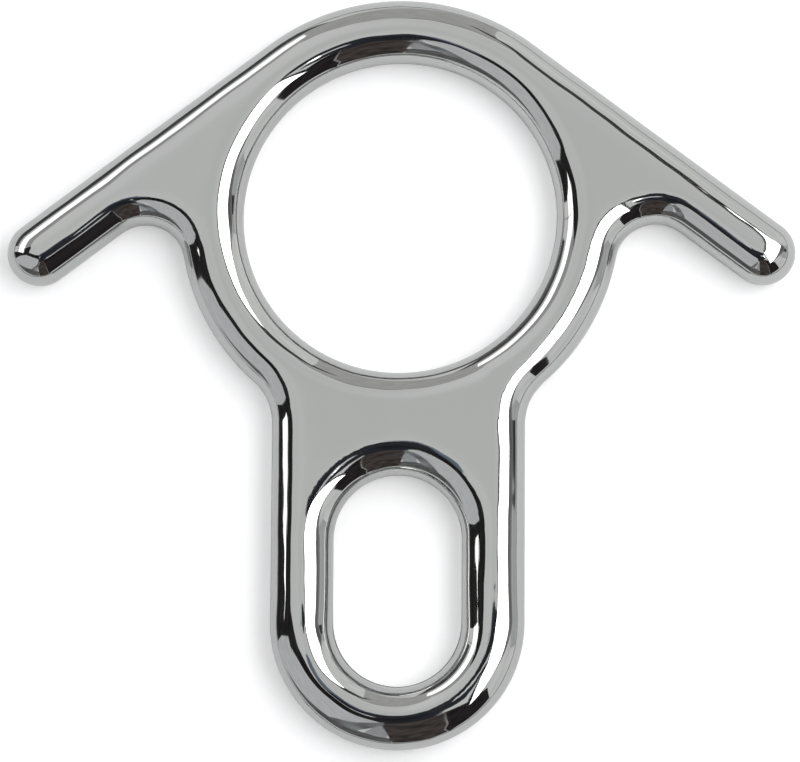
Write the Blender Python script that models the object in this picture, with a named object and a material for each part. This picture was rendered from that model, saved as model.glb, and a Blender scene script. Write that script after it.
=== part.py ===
"""Rescue figure eight descender with two straight ears: one plated steel forging."""

import math

import bmesh
import bpy
import numpy as np

MM = 0.001

# Plate
THICKNESS = 13.5 * MM
EDGE_ROUND = 6.4 * MM

# Large ring that the rope runs through
BORE_RADIUS = 37.8 * MM
RING_RADIUS = 53.1 * MM

# Ears, tangent to the ring, that hold the rope off the neck
EAR_ANGLE = math.radians(36.8)
EAR_WIDTH = 15.7 * MM
EAR_REACH = 75.1 * MM
CROTCH_RADIUS = 9.6 * MM

# Neck and shank below the ring
NECK_RADIUS = 13.6 * MM
SHANK_WIDTH = 60.8 * MM
SHANK_DROP = 97.7 * MM

# Eye slot that the carabiner clips through
SLOT_RADIUS = 15.3 * MM
SLOT_STRAIGHT = 19.8 * MM
SLOT_ROUND_WIDTH = 7.6 * MM

# Facets
RING_STEP = math.radians(5.0)
SMALL_STEP = math.radians(12.0)
ROUND_FACETS = 8

# Plating
CHROME_COLOUR = (0.55, 0.555, 0.55, 1.0)
CHROME_ROUGHNESS = 0.05


def arc(centre, radius, start, end, step, outward):
    """Points on an arc with their outward normals; outward is -1 where the arc bounds a void."""
    count = max(2, round(abs(end - start) / step) + 1)
    angles = np.linspace(start, end, count)
    spokes = np.stack([np.cos(angles), np.sin(angles)], axis=1)
    return np.asarray(centre) + radius * spokes, outward * spokes


def joined(pieces):
    """Pieces in a row as one outline, with the point that two neighbours share kept once."""
    points = [pieces[0][0]]
    normals = [pieces[0][1]]
    for piece_points, piece_normals in pieces[1:]:
        gap = np.linalg.norm(piece_points[0] - points[-1][-1])
        first = 1 if gap < 0.001 * MM else 0
        points.append(piece_points[first:])
        normals.append(piece_normals[first:])
    return np.concatenate(points), np.concatenate(normals)


def outer_half():
    """The right half of the outer outline, clockwise from the top of the ring to the shank's end."""
    across = np.array([math.sin(EAR_ANGLE), math.cos(EAR_ANGLE)])
    along = np.array([math.cos(EAR_ANGLE), -math.sin(EAR_ANGLE)])
    rise = math.pi / 2 - EAR_ANGLE
    crown = arc((0, 0), RING_RADIUS, math.pi / 2, rise, RING_STEP, 1)

    tip_centre = across * (RING_RADIUS - EAR_WIDTH / 2) + along * EAR_REACH
    tip = arc(tip_centre, EAR_WIDTH / 2, rise, rise - math.pi, SMALL_STEP, 1)

    crotch_offset = RING_RADIUS - EAR_WIDTH - CROTCH_RADIUS
    crotch_along = math.sqrt((RING_RADIUS + CROTCH_RADIUS) ** 2 - crotch_offset**2)
    crotch_centre = across * crotch_offset + along * crotch_along
    crotch_bearing = math.atan2(crotch_centre[1], crotch_centre[0])
    crotch = arc(
        crotch_centre, CROTCH_RADIUS, rise, crotch_bearing + math.pi, SMALL_STEP, -1
    )

    neck_x = SHANK_WIDTH / 2 + NECK_RADIUS
    neck_y = -math.sqrt((RING_RADIUS + NECK_RADIUS) ** 2 - neck_x**2)
    neck_bearing = math.atan2(neck_y, neck_x)
    flank = arc((0, 0), RING_RADIUS, crotch_bearing, neck_bearing, RING_STEP, 1)
    neck = arc(
        (neck_x, neck_y), NECK_RADIUS, neck_bearing + math.pi, math.pi, SMALL_STEP, -1
    )
    shank_end = arc((0, -SHANK_DROP), SHANK_WIDTH / 2, 0, -math.pi / 2, RING_STEP, 1)
    return joined([crown, tip, crotch, flank, neck, shank_end])


def outer_outline():
    points, normals = outer_half()
    mirror = np.array([-1.0, 1.0])
    left_points = points[-2:0:-1] * mirror
    left_normals = normals[-2:0:-1] * mirror
    return np.concatenate([points, left_points]), np.concatenate([normals, left_normals])


def bore_outline():
    points, normals = arc((0, 0), BORE_RADIUS, 0, -2 * math.pi, RING_STEP, -1)
    return points[:-1], normals[:-1]


def slot_outline():
    """The slot's lower end shares its centre with the shank's round end."""
    low = (0, -SHANK_DROP)
    high = (0, -SHANK_DROP + SLOT_STRAIGHT)
    lower = arc(low, SLOT_RADIUS, 0, -math.pi, RING_STEP * 1.5, -1)
    upper = arc(high, SLOT_RADIUS, math.pi, 0, RING_STEP * 1.5, -1)
    return joined([lower, upper])


def edge_section(round_width):
    """Inset from the outline and height above the underside, from one flat over the edge to the other."""
    turn = np.linspace(0, math.pi / 2, ROUND_FACETS + 1)
    inset = round_width * (1 - np.sin(turn))
    height = EDGE_ROUND * (1 - np.cos(turn))
    return np.concatenate([inset, inset[::-1]]), np.concatenate(
        [height, (THICKNESS - height)[::-1]]
    )


def add_edge(mesh, outline, round_width, shift):
    """The rounded wall along one outline; returns its lowest and highest rings of edges."""
    points, normals = outline
    rings = []
    for inset, height in zip(*edge_section(round_width)):
        ring = points - normals * inset
        rings.append([mesh.verts.new((x, y + shift, height)) for x, y in ring])
    for below, above in zip(rings, rings[1:]):
        for i in range(len(points)):
            j = (i + 1) % len(points)
            mesh.faces.new((below[i], below[j], above[j], above[i]))
    return ring_edges(mesh, rings[0]), ring_edges(mesh, rings[-1])


def ring_edges(mesh, ring):
    return [mesh.edges.get((a, b)) for a, b in zip(ring, ring[1:] + ring[:1])]


def chrome():
    material = bpy.data.materials.new("chrome_plated_steel")
    material.use_nodes = True
    shader = material.node_tree.nodes["Principled BSDF"]
    shader.inputs["Base Color"].default_value = CHROME_COLOUR
    shader.inputs["Metallic"].default_value = 1.0
    shader.inputs["Roughness"].default_value = CHROME_ROUGHNESS
    material.diffuse_color = CHROME_COLOUR
    return material


def descender_body():
    """The forging rests on its flat back, centred on its length, with the ring towards +Y."""
    shank_bottom = -SHANK_DROP - SHANK_WIDTH / 2
    shift = -(RING_RADIUS + shank_bottom) / 2
    mesh = bmesh.new()
    back_edges = []
    front_edges = []
    for outline, round_width in (
        (outer_outline(), EDGE_ROUND),
        (bore_outline(), EDGE_ROUND),
        (slot_outline(), SLOT_ROUND_WIDTH),
    ):
        back, front = add_edge(mesh, outline, round_width, shift)
        back_edges += back
        front_edges += front
    for flat in (back_edges, front_edges):
        bmesh.ops.triangle_fill(mesh, edges=flat, use_beauty=True, use_dissolve=False)
    bmesh.ops.recalc_face_normals(mesh, faces=mesh.faces)

    data = bpy.data.meshes.new("descender_body")
    mesh.to_mesh(data)
    mesh.free()
    data.shade_smooth()
    data.set_sharp_from_angle(angle=math.radians(35))
    data.materials.append(chrome())
    body = bpy.data.objects.new("descender_body", data)
    bpy.context.scene.collection.objects.link(body)
    return body


for leftover in list(bpy.data.objects):
    bpy.data.objects.remove(leftover)

descender_body()
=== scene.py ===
"""The rescue figure eight descender as it lies on a pale table, seen from above."""

import math

import bmesh
import bpy
import numpy as np
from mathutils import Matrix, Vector
from mathutils.geometry import delaunay_2d_cdt, tessellate_polygon
from mathutils.kdtree import KDTree


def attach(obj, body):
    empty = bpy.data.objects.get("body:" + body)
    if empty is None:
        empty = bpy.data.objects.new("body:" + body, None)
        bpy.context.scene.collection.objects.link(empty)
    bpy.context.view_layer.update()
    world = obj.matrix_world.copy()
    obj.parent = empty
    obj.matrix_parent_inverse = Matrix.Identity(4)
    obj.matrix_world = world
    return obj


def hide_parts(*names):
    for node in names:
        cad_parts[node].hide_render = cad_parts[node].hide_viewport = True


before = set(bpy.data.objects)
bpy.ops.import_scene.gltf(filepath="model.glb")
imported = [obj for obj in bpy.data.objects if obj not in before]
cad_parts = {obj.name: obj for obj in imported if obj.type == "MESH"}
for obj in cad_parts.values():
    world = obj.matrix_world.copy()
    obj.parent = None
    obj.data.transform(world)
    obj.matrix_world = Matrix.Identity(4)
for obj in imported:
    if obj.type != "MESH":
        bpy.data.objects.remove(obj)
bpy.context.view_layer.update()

# The camera looks down on the descender from a little towards the eye and the
# right ear, through a long lens.
camera = bpy.data.objects.new("camera", bpy.data.cameras.new("camera"))
camera.data.sensor_width = 36.0
camera.data.lens = 169.4
camera.data.clip_end = 20.0
camera.location = (0.04825, -0.10798, 0.9033)
camera.rotation_mode = "ZYX"
camera.rotation_euler = (0.1174, 0.05306, 0.0003)
bpy.context.scene.collection.objects.link(camera)
bpy.context.scene.camera = camera
bpy.context.scene.view_settings.view_transform = "Standard"

# The body is one drop forging in steel: a large ring for the rope, two straight
# ears tangent to it, and a shank with the long eye that the carabiner clips
# through. It is trimmed, rounded over on a belt, polished and chrome plated.
MM = 0.001
THICKNESS = 13.5 * MM
RING_RADIUS = 53.1 * MM
BORE_RADIUS = 37.8 * MM
EAR_ANGLE = math.radians(36.8)
EAR_WIDTH = 15.7 * MM
EAR_REACH = 75.1 * MM
CROTCH_RADIUS = 9.6 * MM
NECK_RADIUS = 13.6 * MM
SHANK_WIDTH = 60.8 * MM
SHANK_DROP = 97.7 * MM
SLOT_RADIUS = 15.3 * MM
SLOT_STRAIGHT = 19.8 * MM
BORE_CENTRE_Y = 37.5 * MM
POLISH_LOSS = 0.04 * MM

# How wide each round is, and how fast it turns: the sine of its slope falls from
# 1 at the outline to 0 over the width, as this power of the way that is left.
RING_ROUND = (7.4 * MM, 1.23)
EYE_ROUND = (8.3 * MM, 1.4)
TAIL_RING_ROUND = (10.8 * MM, 2.3)
TAIL_EYE_ROUND = (6.8 * MM, 0.9)
TAIL_START, TAIL_LENGTH = -86.0 * MM, 18.0 * MM

# The belt softened them towards the land and crowned it, wandered in a long and a
# short wave, and leant harder on the right of the shank. Where a value comes with a
# length, the change starts at the value and is full after the length.
BELT_SOFTENING = 1.2 * MM
CROWN_INSET, CROWN_LENGTH = 4.2 * MM, 1.5 * MM
BELT_WANDER = 0.035
LONG_WAVE_X, LONG_WAVE_Y = 6.1 * MM, 5.3 * MM
WAVE_START_X, WAVE_START_Y = 1.0, 0.5
SHORT_WAVE_DOWN, SHORT_WAVE_UP = 2.6 * MM, 3.7 * MM
SHORT_WAVE_SHARE = 0.4
BELT_LEAN = 0.9 * MM
LEAN_SOFTENING = 0.6 * MM
LEAN_INSET, LEAN_INSET_LENGTH = 4 * MM, 2 * MM
LEAN_TOP, LEAN_TOP_LENGTH = -26 * MM, 14 * MM
LEAN_FOOT, LEAN_FOOT_LENGTH = -112 * MM, 16 * MM
LEAN_SIDE, LEAN_SIDE_LENGTH = 20 * MM, 2.5 * MM

# How finely all of it is meshed: the rows over a round turn from upright at the
# outline to nearly flat at the land, in degrees, and a grid of points fills the land.
OUTLINE_STEP = 1.0 * MM
TOUCHING = 0.01 * MM
SECTION_POINTS = 1500
LEAST_COSINE = 0.001
ROUND_ROWS = 22
UPRIGHT, NEARLY_FLAT = 90, 9
LAND_INSET = 5.7 * MM
LAND_SPACING = 1.2 * MM
LAND_MARGIN = 0.6 * MM
FIELD_STEP = 0.5 * MM
FIELD_MARGIN = 2 * MM
FIELD_INSET = 1 * MM
WHOLE_HULL, SAME_POINT = 0, 1e-5


def arc(centre, radius, start, end, outward):
    """Points on an arc with their outward normals; outward is -1 where the arc bounds a void."""
    count = max(3, round(abs(end - start) * radius / OUTLINE_STEP) + 1)
    angles = np.linspace(start, end, count)
    spokes = np.stack([np.cos(angles), np.sin(angles)], axis=1)
    return np.asarray(centre) + radius * spokes, outward * spokes


def straight(start, end):
    """Points between two arcs' ends, which are left out, all with the first arc's last normal."""
    (a, normal), (b, _) = start, end
    count = max(2, round(np.linalg.norm(b - a) / OUTLINE_STEP))
    steps = np.linspace(0, 1, count + 1)[1:-1, None]
    return a + (b - a) * steps, np.tile(normal, (count - 1, 1))


def linked(arcs, closed=False):
    """Arcs in a row as one outline, with straight runs where two of them don't meet."""
    points, normals = [], []
    for p, n in arcs:
        if points:
            gap = np.linalg.norm(p[0] - points[-1][-1])
            if gap < TOUCHING:
                p, n = p[1:], n[1:]
            else:
                run = straight((points[-1][-1], normals[-1][-1]), (p[0], n[0]))
                points.append(run[0])
                normals.append(run[1])
        points.append(p)
        normals.append(n)
    if closed:
        run = straight((points[-1][-1], normals[-1][-1]), (points[0][0], None))
        points.append(run[0])
        normals.append(run[1])
    return np.concatenate(points), np.concatenate(normals)


def outer_outline():
    """The forging's trim line, clockwise from the crown of the ring, mirrored to the left."""
    across = np.array([math.sin(EAR_ANGLE), math.cos(EAR_ANGLE)])
    along = np.array([math.cos(EAR_ANGLE), -math.sin(EAR_ANGLE)])
    rise = math.pi / 2 - EAR_ANGLE
    tip = across * (RING_RADIUS - EAR_WIDTH / 2) + along * EAR_REACH
    crotch_offset = RING_RADIUS - EAR_WIDTH - CROTCH_RADIUS
    crotch_along = math.sqrt((RING_RADIUS + CROTCH_RADIUS) ** 2 - crotch_offset**2)
    crotch = across * crotch_offset + along * crotch_along
    crotch_bearing = math.atan2(crotch[1], crotch[0])
    neck_x = SHANK_WIDTH / 2 + NECK_RADIUS
    neck_y = -math.sqrt((RING_RADIUS + NECK_RADIUS) ** 2 - neck_x**2)
    neck_bearing = math.atan2(neck_y, neck_x)
    points, normals = linked(
        [
            arc((0, 0), RING_RADIUS, math.pi / 2, rise, 1),
            arc(tip, EAR_WIDTH / 2, rise, rise - math.pi, 1),
            arc(crotch, CROTCH_RADIUS, rise, crotch_bearing + math.pi, -1),
            arc((0, 0), RING_RADIUS, crotch_bearing, neck_bearing, 1),
            arc((neck_x, neck_y), NECK_RADIUS, neck_bearing + math.pi, math.pi, -1),
            arc((0, -SHANK_DROP), SHANK_WIDTH / 2, 0, -math.pi / 2, 1),
        ]
    )
    mirror = np.array([-1.0, 1.0])
    return (
        np.concatenate([points, points[-2:0:-1] * mirror]),
        np.concatenate([normals, normals[-2:0:-1] * mirror]),
    )


def bore_outline():
    points, normals = arc((0, 0), BORE_RADIUS, 0, -2 * math.pi, -1)
    return points[:-1], normals[:-1]


def slot_outline():
    low, high = (0, -SHANK_DROP), (0, -SHANK_DROP + SLOT_STRAIGHT)
    return linked(
        [arc(low, SLOT_RADIUS, 0, -math.pi, -1), arc(high, SLOT_RADIUS, math.pi, 0, -1)],
        closed=True,
    )


def round_table(width, power):
    """Insets from the outline, with the drop below the flat and the sine of the slope at each."""
    left = np.linspace(0, 1, SECTION_POINTS)
    middle = ((left[1:] + left[:-1]) / 2) ** power
    fall = middle / np.sqrt(1 - middle**2) * np.diff(left) * width
    drop = np.concatenate([[0], np.cumsum(fall)])
    return width * (1 - left[::-1]), drop[::-1], (left**power)[::-1]


def eased(t):
    """0 below 0, 1 above 1, and a smooth rise between."""
    t = np.clip(t, 0, 1)
    return t * t * (3 - 2 * t)


def tail_share(y):
    """0 on the ring and the ears, 1 on the round end of the shank, where the belt took more off."""
    return eased((TAIL_START - y) / TAIL_LENGTH)


def lean_share(x, y):
    """1 along the right of the shank, where the belt left the round crisper against the land."""
    below_top = eased((LEAN_TOP - y) / LEAN_TOP_LENGTH)
    above_foot = eased((y - LEAN_FOOT) / LEAN_FOOT_LENGTH)
    return below_top * above_foot * eased((x - LEAN_SIDE) / LEAN_SIDE_LENGTH)


def section_at(rounds, inset, spots):
    """Drop and sine of the slope at an inset, with the section for the tail blended in."""
    drop, sine = 0, 0
    x, y = spots.T
    share = tail_share(y)
    # Held to the belt by hand, the round wanders a few percent wider and narrower.
    long_wave = np.sin(x / LONG_WAVE_X + WAVE_START_X) * np.sin(y / LONG_WAVE_Y + WAVE_START_Y)
    short_wave = np.sin((x - y) / SHORT_WAVE_DOWN) * np.sin((x + y) / SHORT_WAVE_UP)
    inset = inset * (1 - BELT_WANDER * (long_wave + SHORT_WAVE_SHARE * short_wave))
    # Where it leant, the inner part of the round reads as if it lay further in.
    lean = BELT_LEAN * lean_share(x, y)
    inset = inset + lean * eased((inset - LEAN_INSET) / LEAN_INSET_LENGTH)
    for (at, below, steep), part in zip(rounds, (1 - share, share)):
        drop = drop + part * np.interp(inset, at, below)
        sine = sine + part * np.interp(inset, at, steep)
    return drop, sine


def softened(field, width):
    """A Gaussian blur, one axis after the other."""
    reach = math.ceil(3 * width / FIELD_STEP)
    offsets = np.arange(-reach, reach + 1)
    weights = np.exp(-0.5 * (offsets * FIELD_STEP / width) ** 2)
    weights /= weights.sum()
    for axis in (0, 1):
        padding = [(0, 0), (0, 0)]
        padding[axis] = (reach, reach)
        padded = np.pad(field, padding, mode="edge")
        field = sum(
            weight * np.take(padded, np.arange(field.shape[axis]) + i, axis=axis)
            for i, weight in enumerate(weights)
        )
    return field


def inside(loop, points):
    """Which points lie in a closed loop, by counting the sides that a ray to the right crosses."""
    (x0, y0), (x1, y1) = loop.T, np.roll(loop, -1, axis=0).T
    x, y = points[:, 0, None], points[:, 1, None]
    spans = (y0 > y) != (y1 > y)
    with np.errstate(divide="ignore", invalid="ignore"):
        crossing = x < (x1 - x0) * (y - y0) / (y1 - y0) + x0
    return (spans & crossing).sum(axis=1) % 2 == 1


def forged_body():
    """Rows of quads over every round, and a finely meshed and slightly crowned land between."""
    outlines = [outer_outline(), bore_outline(), slot_outline()]
    ring = [round_table(*RING_ROUND), round_table(*TAIL_RING_ROUND)]
    eye = [round_table(*EYE_ROUND), round_table(*TAIL_EYE_ROUND)]
    rounds = [ring, ring, eye]

    def clearances(spots):
        """Each spot's distance to every outline."""
        columns = []
        for points, _ in outlines:
            tree = KDTree(len(points))
            for i, (x, y) in enumerate(points):
                tree.insert((x, y, 0), i)
            tree.balance()
            columns.append([tree.find((x, y, 0))[2] for x, y in spots])
        return np.array(columns).T

    def in_metal(spots, loops):
        outer, *voids = [inside(loop, spots) for loop in loops]
        return outer & ~np.any(voids, axis=0)

    # The crowned top's drop below the flat as a field on a grid, blurred as a soft
    # belt does, and less where it leant.
    low = outlines[0][0].min(axis=0) - FIELD_MARGIN
    high = outlines[0][0].max(axis=0) + FIELD_MARGIN
    columns, rows = np.ceil((high - low) / FIELD_STEP).astype(int)
    grid_y, grid_x = np.meshgrid(
        low[1] + FIELD_STEP * np.arange(rows),
        low[0] + FIELD_STEP * np.arange(columns),
        indexing="ij",
    )
    spots = np.stack([grid_x.ravel(), grid_y.ravel()], axis=1)
    metal = in_metal(spots, [points for points, _ in outlines])
    distances = np.zeros((len(spots), 3))
    distances[metal] = clearances(spots[metal])
    field = sum(
        section_at(rounds[k], np.maximum(distances[:, k], FIELD_INSET), spots)[0]
        for k in range(3)
    )
    field = np.minimum(field, ring[0][1][0]).reshape(rows, columns)
    soft = softened(field, BELT_SOFTENING)
    crisp = softened(field, LEAN_SOFTENING)
    field = soft + (crisp - soft) * lean_share(grid_x, grid_y)
    fall_y, fall_x = np.gradient(field, FIELD_STEP)

    def crown_at(spots):
        """Drop and its two slopes, read between the grid's points."""
        place = (spots - low) / FIELD_STEP
        cell = np.floor(place).astype(int)
        u, v = (place - cell).T
        i, j = cell.T
        return [
            (a[j, i] * (1 - u) + a[j, i + 1] * u) * (1 - v)
            + (a[j + 1, i] * (1 - u) + a[j + 1, i + 1] * u) * v
            for a in (field, fall_x, fall_y)
        ]

    def surface(spots, inset, outward, own):
        """Drop and normal: the plain section near the outline, the crown towards the land."""
        plain_drop, sine = section_at(own, inset, spots)
        steep = sine / np.sqrt(np.maximum(1 - sine**2, LEAST_COSINE**2))
        crown, slope_x, slope_y = crown_at(spots)
        share = eased((inset - CROWN_INSET) / CROWN_LENGTH)
        drop = plain_drop * (1 - share) + crown * share
        normal = np.stack(
            [
                steep * outward[:, 0] * (1 - share) + slope_x * share,
                steep * outward[:, 1] * (1 - share) + slope_y * share,
                np.ones(len(spots)),
            ],
            axis=1,
        )
        return drop, normal / np.linalg.norm(normal, axis=1)[:, None]

    turn = np.radians(np.linspace(UPRIGHT, NEARLY_FLAT, ROUND_ROWS))
    insets = RING_ROUND[0] * (1 - np.sin(turn) ** (1 / RING_ROUND[1]))
    insets *= LAND_INSET / insets[-1]

    mesh = bmesh.new()
    exact = []
    top = THICKNESS - POLISH_LOSS
    loops, land_rows = [], ([], [])

    def add(spots, drop, normal, side):
        """A row of vertices on the front (side 1) or on the back (side -1)."""
        heights = top - drop if side > 0 else POLISH_LOSS + drop
        exact.extend(normal * (1, 1, side))
        return [
            mesh.verts.new((x, y + BORE_CENTRE_Y, z)) for (x, y), z in zip(spots, heights)
        ]

    for (points, normals), own in zip(outlines, rounds):
        bands = ([], [])
        for inset in insets:
            spots = points - normals * (inset + POLISH_LOSS)
            drop, normal = surface(spots, np.full(len(spots), inset), normals, own)
            for side, band in zip((1, -1), bands):
                band.append(add(spots, drop, normal, side))
        loops.append(spots)
        rows_in_turn = bands[0][::-1] + bands[1]
        for above, below in zip(rows_in_turn, rows_in_turn[1:]):
            for i in range(len(points)):
                j = (i + 1) % len(points)
                mesh.faces.new((below[i], above[i], above[j], below[j]))
        for land, band in zip(land_rows, bands):
            land.extend(band[-1])

    # The land: the innermost rows are its borders, with a grid of points between them.
    sites = np.stack(
        np.meshgrid(
            np.arange(low[0], high[0], LAND_SPACING), np.arange(low[1], high[1], LAND_SPACING)
        ),
        axis=-1,
    ).reshape(-1, 2)
    sites = sites[in_metal(sites, loops)]
    nearest = clearances(sites).min(axis=1)
    sites = sites[nearest > LAND_INSET + LAND_MARGIN]
    drop, slope_x, slope_y = crown_at(sites)
    normal = np.stack([slope_x, slope_y, np.ones(len(sites))], axis=1)
    normal /= np.linalg.norm(normal, axis=1)[:, None]
    border = []
    for loop in loops:
        first = len(border)
        border += [(first + i, first + (i + 1) % len(loop)) for i in range(len(loop))]
    flat_points = np.concatenate([*loops, sites])
    # In millimetres and over the whole hull; the triangles off the metal are left out.
    _, _, triangles, *_ = delaunay_2d_cdt(
        [Vector(point) for point in flat_points / MM], border, [], WHOLE_HULL, SAME_POINT
    )
    centres = np.array([flat_points[list(t)].mean(axis=0) for t in triangles])
    kept = [t for t, good in zip(triangles, in_metal(centres, loops)) if good]
    for side, row in zip((1, -1), land_rows):
        row.extend(add(sites, drop, normal, side))
        for a, b, c in kept:
            order = (a, b, c) if side > 0 else (c, b, a)
            mesh.faces.new([row[i] for i in order])
    bmesh.ops.recalc_face_normals(mesh, faces=mesh.faces)
    data = bpy.data.meshes.new("forged_body")
    mesh.to_mesh(data)
    mesh.free()
    data.shade_smooth()
    data.normals_split_custom_set_from_vertices(exact)
    return data


CHROME_DARK = (0.535, 0.54, 0.535, 1)
CHROME_PALE = (0.565, 0.57, 0.56, 1)
CLEAR_ROUGHNESS, HAZY_ROUGHNESS = 0.025, 0.06
BELT_WAVE_DEPTH = 0.12 * MM


def noise(tree, place, scale, detail):
    """A noise texture over a place, finer as its scale goes up."""
    texture = tree.nodes.new("ShaderNodeTexNoise")
    texture.inputs["Scale"].default_value = scale
    texture.inputs["Detail"].default_value = detail
    tree.links.new(place, texture.inputs["Vector"])
    return texture.outputs["Fac"]


def two_tones(tree, amount, colours, stops=(0, 1)):
    """One colour up to the first stop, the other from the second, and a blend between."""
    ramp = tree.nodes.new("ShaderNodeValToRGB")
    for element, stop, colour in zip(ramp.color_ramp.elements, stops, colours):
        element.position = stop
        element.color = colour
    tree.links.new(amount, ramp.inputs["Fac"])
    return ramp.outputs["Color"]


def chrome_plate():
    """Bright chrome over hand polished steel, with soft waves left by the belt and a faint haze."""
    material = bpy.data.materials.new("polished_chrome")
    material.use_nodes = True
    tree = material.node_tree
    shader = tree.nodes["Principled BSDF"]
    shader.inputs["Metallic"].default_value = 1.0
    place = tree.nodes.new("ShaderNodeTexCoord").outputs["Object"]

    tone = noise(tree, place, scale=18.0, detail=3.0)
    tint = two_tones(tree, tone, (CHROME_DARK, CHROME_PALE))
    tree.links.new(tint, shader.inputs["Base Color"])

    haze = noise(tree, place, scale=60.0, detail=6.0)
    gloss = tree.nodes.new("ShaderNodeMapRange")
    gloss.inputs["From Min"].default_value = 0.3
    gloss.inputs["From Max"].default_value = 0.7
    gloss.inputs["To Min"].default_value = CLEAR_ROUGHNESS
    gloss.inputs["To Max"].default_value = HAZY_ROUGHNESS
    tree.links.new(haze, gloss.inputs["Value"])
    tree.links.new(gloss.outputs["Result"], shader.inputs["Roughness"])

    wave = noise(tree, place, scale=80.0, detail=1.0)
    belt = tree.nodes.new("ShaderNodeBump")
    belt.inputs["Strength"].default_value = 1.0
    belt.inputs["Distance"].default_value = BELT_WAVE_DEPTH
    tree.links.new(wave, belt.inputs["Height"])
    tree.links.new(belt.outputs["Normal"], shader.inputs["Normal"])
    return material


body = bpy.data.objects.new("forged_body", forged_body())
body.data.materials.append(chrome_plate())
bpy.context.scene.collection.objects.link(body)
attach(body, "root")
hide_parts("descender_body")

# The table is a broad sheet of matt white board. In the picture it reads as pure
# white with the descender's soft shadow; in the chrome it shows as a pale grey.
HALF_TABLE = 6.0
BOARD_WHITE = (0.76, 0.76, 0.77, 1)
table_data = bpy.data.meshes.new("table")
table_data.from_pydata(
    [
        (-HALF_TABLE, -HALF_TABLE, 0),
        (HALF_TABLE, -HALF_TABLE, 0),
        (HALF_TABLE, HALF_TABLE, 0),
        (-HALF_TABLE, HALF_TABLE, 0),
    ],
    [],
    [(0, 1, 2, 3)],
)
table = bpy.data.objects.new("table", table_data)
bpy.context.scene.collection.objects.link(table)
board = bpy.data.materials.new("matt_board")
board.use_nodes = True
tree = board.node_tree
paper = tree.nodes["Principled BSDF"]
paper.inputs["Base Color"].default_value = BOARD_WHITE
paper.inputs["Roughness"].default_value = 1.0
paper.inputs["Specular IOR Level"].default_value = 0.0
paper.inputs["Emission Color"].default_value = (1, 1, 1, 1)
# It is lifted to white for the camera, and very little in reflections.
rays = tree.nodes.new("ShaderNodeLightPath")
lift = None
for kind, amount in (
    ("Is Camera Ray", 0.35),
    ("Is Glossy Ray", 0.02),
    ("Is Transmission Ray", 0.02),
):
    share = tree.nodes.new("ShaderNodeMath")
    share.operation = "MULTIPLY_ADD"
    share.inputs[1].default_value = amount
    share.inputs[2].default_value = 0.0
    tree.links.new(rays.outputs[kind], share.inputs[0])
    if lift:
        tree.links.new(lift.outputs["Value"], share.inputs[2])
    lift = share
tree.links.new(lift.outputs["Value"], paper.inputs["Emission Strength"])
table.data.materials.append(board)

# The studio round it: a pale painted room, a soft box on either side, and the dark
# things that stand between them, each a glowing card bent round the descender.
# Nearer cards hide the ones behind them, and the camera sees plain white past all.
ROOM_DIM = (0.735, 0.745, 0.74, 1)
ROOM_BRIGHT = (0.865, 0.87, 0.87, 1)
UNEVEN_STOPS = (0.35, 0.65)
world = bpy.data.worlds.new("room")
world.use_nodes = True
tree = world.node_tree
rays = tree.nodes.new("ShaderNodeLightPath")
around = tree.nodes.new("ShaderNodeTexCoord").outputs["Generated"]
patches = noise(tree, around, scale=2.5, detail=1.0)
paint = two_tones(tree, patches, (ROOM_DIM, ROOM_BRIGHT), UNEVEN_STOPS)
# Inputs 6 and 7 of a colour mix are its two colours, and output 2 is the result.
seen = tree.nodes.new("ShaderNodeMix")
seen.data_type = "RGBA"
tree.links.new(paint, seen.inputs[6])
seen.inputs[7].default_value = (1, 1, 1, 1)
tree.links.new(rays.outputs["Is Camera Ray"], seen.inputs["Factor"])
tree.links.new(seen.outputs[2], tree.nodes["Background"].inputs["Color"])
bpy.context.scene.world = world
CARD_STEPS = 8
# How unevenly a white and a dark card glow, and how bright a white one is at least.
WHITE_SPREAD, DARK_SPREAD = 0.08, 0.5
WHITE_FROM = 0.3


def towards(east, north):
    """The direction at these degrees from overhead."""
    tilt = math.radians(math.hypot(east, north))
    bearing = math.atan2(north, east)
    return Vector(
        (
            math.sin(tilt) * math.cos(bearing),
            math.sin(tilt) * math.sin(bearing),
            math.cos(tilt),
        )
    )


def stand_card(name, points, faces, colour, strength=1.0):
    """An unevenly lit card that lights and is reflected, but that the camera looks past."""
    data = bpy.data.meshes.new(name)
    data.from_pydata(points, [], faces)
    panel = bpy.data.objects.new(name, data)
    bpy.context.scene.collection.objects.link(panel)
    panel.visible_camera = False
    glow = bpy.data.materials.new(name)
    glow.use_nodes = True
    tree = glow.node_tree
    surface = tree.nodes["Principled BSDF"]
    surface.inputs["Base Color"].default_value = (0, 0, 0, 1)
    surface.inputs["Specular IOR Level"].default_value = 0.0
    surface.inputs["Emission Strength"].default_value = strength
    place = tree.nodes.new("ShaderNodeTexCoord").outputs["Object"]
    cloud = noise(tree, place, scale=5.0, detail=2.0)
    uneven = 1 + (WHITE_SPREAD if min(colour) > WHITE_FROM else DARK_SPREAD)
    tones = [(*(factor * part for part in colour), 1) for factor in (1 / uneven, uneven)]
    shade = two_tones(tree, cloud, tones, UNEVEN_STOPS)
    tree.links.new(shade, surface.inputs["Emission Color"])
    data.materials.append(glow)


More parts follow.
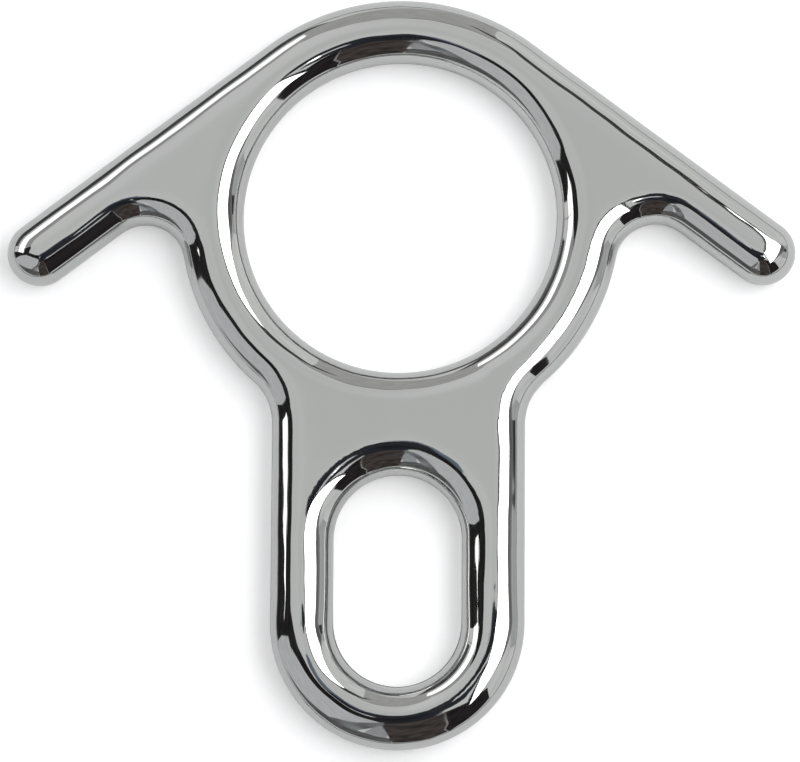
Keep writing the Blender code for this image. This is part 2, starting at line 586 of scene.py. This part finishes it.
def card(name, distance, corners, colour, strength=1.0):
    """A patch of a sphere, its corners in degrees to the right and up the picture from overhead."""
    rays = [towards(*corner) for corner in corners]
    facing = sum(rays, Vector()).normalized()
    flat = [ray / ray.dot(facing) for ray in rays]
    points, faces = [], []
    # It is cut into small triangles, so that its edges run straight.
    for triangle in tessellate_polygon([flat]):
        a, b, c = (flat[i] for i in triangle)
        first = len(points)
        index = {}
        for i in range(CARD_STEPS + 1):
            for j in range(CARD_STEPS + 1 - i):
                index[i, j] = first + len(index)
                spot = a + (b - a) * (i / CARD_STEPS) + (c - a) * (j / CARD_STEPS)
                points.append(spot.normalized() * distance)
        for i, j in index:
            if i + j < CARD_STEPS:
                faces.append((index[i, j], index[i + 1, j], index[i, j + 1]))
            if i + j < CARD_STEPS - 1:
                faces.append((index[i + 1, j], index[i + 1, j + 1], index[i, j + 1]))
    stand_card(name, points, faces, colour, strength)


WHITE = (1, 1, 1)
BLACK = (0.022, 0.021, 0.021)
NAVY = (0.024, 0.026, 0.032)
BROWN = (0.066, 0.056, 0.052)
card(
    "tripod_leg",
    0.75,
    [(-24.5, -57), (-5.5, -29), (-5, -22.5), (-36, -49.5)],
    (0.23, 0.24, 0.25),
)
card("boom_arm", 0.8, [(-82.5, 21), (-38.5, 11), (-34, 10), (-80, 19.5)], (0.28, 0.28, 0.29))
card(
    "camera_housing",
    0.92,
    [
        (1, -7.3),
        (7, -7.3),
        (9, -6),
        (10, -3),
        (10, -1.2),
        (4, -0.3),
        (0, -0.5),
        (-1.5, -2.8),
        (-4, -3),
        (-9, -5),
        (-12, -7),
        (-9, -9.5),
        (-4, -10.5),
    ],
    NAVY,
)
card(
    "camera_foot",
    0.93,
    [(2.5, -10.5), (7, -9.8), (11, -13), (13, -17), (8, -18), (5, -17)],
    NAVY,
)
card(
    "camera_grip",
    0.75,
    [(8.4, -9.6), (11, -9.4), (12.5, -11), (13, -14), (12, -17), (8.5, -16)],
    NAVY,
)
card(
    "lens_hood",
    0.88,
    [(-2.5, -1.8), (-5, -1.9), (-9, -3.5), (-12, -6.5), (-9.5, -7.5), (-6, -5)],
    (0.15, 0.18, 0.225),
)
card(
    "camera_stand",
    1.05,
    [(7, -20), (4, -12), (2.5, -4.5), (-6, -6), (-6, -14), (-6, -23.5)],
    NAVY,
)
card("soft_box_right", 1.35, [(53.5, 20), (22, 34), (10, -2), (24.5, -30.5)], WHITE, 5.0)
card("soft_box_tongue", 1.7, [(6.2, -8.7), (8.4, -8.8), (10, -13), (9, -14.5)], WHITE, 5.0)
card(
    "soft_box_right_lip",
    1.38,
    [(8.5, -2), (21, 35.5), (22, 34), (10, -2), (24.5, -30.5), (23, -32)],
    BLACK,
)
card("soft_box_right_back", 1.42, [(72.5, 16), (19, 31), (8.5, 3), (22, -27)], (0.2, 0.2, 0.2))
card("flag_right", 1.5, [(79, 15), (59, 14), (59, 5), (79, 5)], (0.06, 0.06, 0.06))
card(
    "wall_right",
    1.6,
    [(14.5, 45), (43.5, 25), (70, 22), (84, 27), (64, 60), (30, 80)],
    (0.86, 0.87, 0.86),
)
card(
    "screen_right",
    1.65,
    [(50, 24), (54, -4), (62, -14), (87, -16), (87, 24)],
    (0.55, 0.56, 0.56),
)
card(
    "cable",
    1.75,
    [(6, -16), (22, -47), (27, -64), (36, -79), (35.3, -79.5), (26.2, -64.3), (21.2, -47.3)],
    (0.4, 0.38, 0.38),
)
card(
    "dark_end_right",
    1.78,
    [(7, -19), (22, -47), (27, -64), (36, -79), (42, -68), (62, -52), (38, -28.5)],
    (0.024, 0.021, 0.022),
)
card(
    "dark_end",
    1.8,
    [(7, -19), (-5.5, -14), (-6.5, -84), (20, -84), (40.5, -72), (62, -52), (38, -28.5)],
    BROWN,
)
card(
    "soft_box_left",
    1.9,
    [(-23.5, 49.5), (-29, 59.5), (-64, 18.5), (-68, 6.5), (-48, 1.5)],
    WHITE,
    2.1,
)
card("flag_left", 2.0, [(-26.5, 11.5), (-28, 16), (-34, 16), (-49, 12), (-34.5, -7.5)], BLACK)
card(
    "soft_box_left_edge",
    2.1,
    [(-28.5, 13), (-20, 45), (-34.5, 35), (-48.5, 20)],
    (0.43, 0.43, 0.43),
)
card(
    "ceiling_gap",
    2.15,
    [(10, 52.5), (17.5, 21), (28, 28), (20.5, 41.5)],
    (0.075, 0.072, 0.07),
)
card(
    "beam_left",
    2.2,
    [
        (-5, -10),
        (-9, -7),
        (-18, -3),
        (-30, 1),
        (-53, 6),
        (-87, 9.5),
        (-83.5, -11.5),
        (-60, -6),
        (-38, -4),
        (-26, -9),
        (-16, -13),
        (-8, -16.5),
        (-5.5, -20),
    ],
    BLACK,
)
card(
    "gap_left",
    2.3,
    [(-22.5, -51), (-75, -28), (-34, -75), (-7.5, -84.5), (-5.5, -64.5)],
    (0.13, 0.13, 0.13),
)
card(
    "gap_back",
    2.4,
    [(-85, 27), (-69.5, 24.5), (-22.5, 70), (-44, 79), (-82, 41)],
    (0.085, 0.085, 0.085),
)
card(
    "panel_left",
    2.5,
    [(-4, -10), (-30, -2), (-88, 6.5), (-79, -46.5), (-32, -68.5), (-5.5, -18.5)],
    (0.66, 0.67, 0.685),
)
card(
    "panel_front",
    2.6,
    [(-2.5, -15.5), (-6.5, -23.5), (-28.5, -74), (-11, -82)],
    (0.42, 0.43, 0.45),
)
card(
    "panel_back",
    3.0,
    [(-35.5, 59.5), (-20.5, 40.5), (14, 36), (31, 81.5), (2.5, 81.5)],
    (0.52, 0.515, 0.51),
)
card(
    "panel_back_rail",
    2.9,
    [(-20.5, 40), (-20.5, 38.5), (14, 34.5), (14, 36)],
    (0.25, 0.25, 0.25),
)

# The dark foot of the room all round, seen in the chrome as a fine line where the
# table ends.
FOOT_RADIUS, FOOT_HEIGHT, FOOT_SIDES = 5.0, 0.2, 48
foot = [
    (FOOT_RADIUS * math.cos(turn), FOOT_RADIUS * math.sin(turn), level)
    for turn in np.linspace(0, 2 * math.pi, FOOT_SIDES, endpoint=False)
    for level in (0, FOOT_HEIGHT)
]
stand_card(
    "room_foot",
    foot,
    [
        (2 * i, (2 * i + 2) % len(foot), (2 * i + 3) % len(foot), 2 * i + 1)
        for i in range(FOOT_SIDES)
    ],
    BLACK,
)
